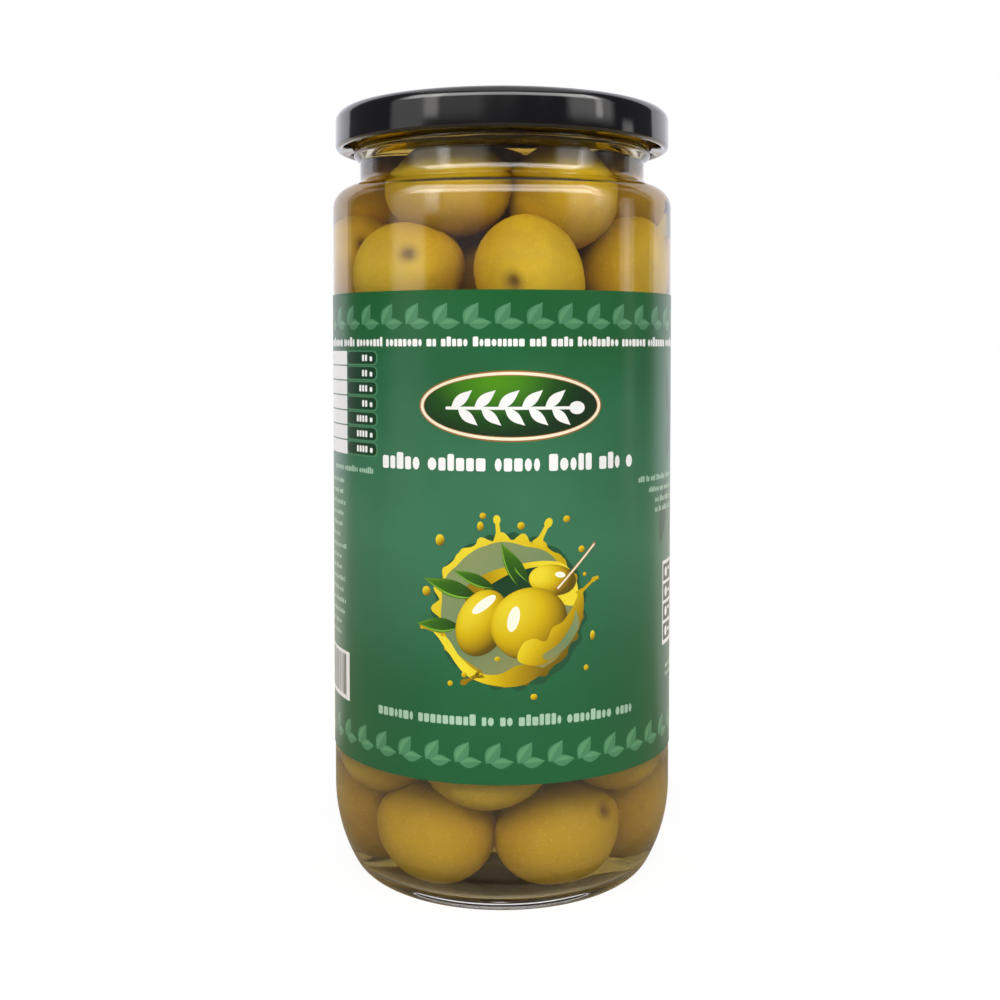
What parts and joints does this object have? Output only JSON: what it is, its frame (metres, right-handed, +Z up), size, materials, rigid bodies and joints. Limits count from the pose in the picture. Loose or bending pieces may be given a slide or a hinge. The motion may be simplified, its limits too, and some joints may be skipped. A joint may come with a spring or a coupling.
{
  "type": "jar of olives",
  "caption": "Tall clear glass jar of green olives in brine, with a black twist-off lid and a green paper label wrapped round its straight wall.",
  "frame": {"origin": "centre of the foot ring's plane, under the middle of the jar", "axes": "+Z up along the jar's axis; the middle of the label faces -Y; +X is to the right when looking at the label"},
  "size_m": [0.0752, 0.0751, 0.168],
  "materials": {
    "jar_glass": "clear flint glass, smooth and glossy",
    "black_lacquer": "gloss black lacquer on tinplate",
    "label_paper": "coated paper, printed green, satin",
    "olive_skin": "smooth yellow-green olive skin, satin and wet",
    "brine_liquid": "clear amber-green brine"
  },
  "bodies": {
    "root": {"glass_jar": "jar_glass", "lid": "black_lacquer", "label": "label_paper", "olives": "olive_skin", "brine": "brine_liquid"}
  },
  "joints": []
}
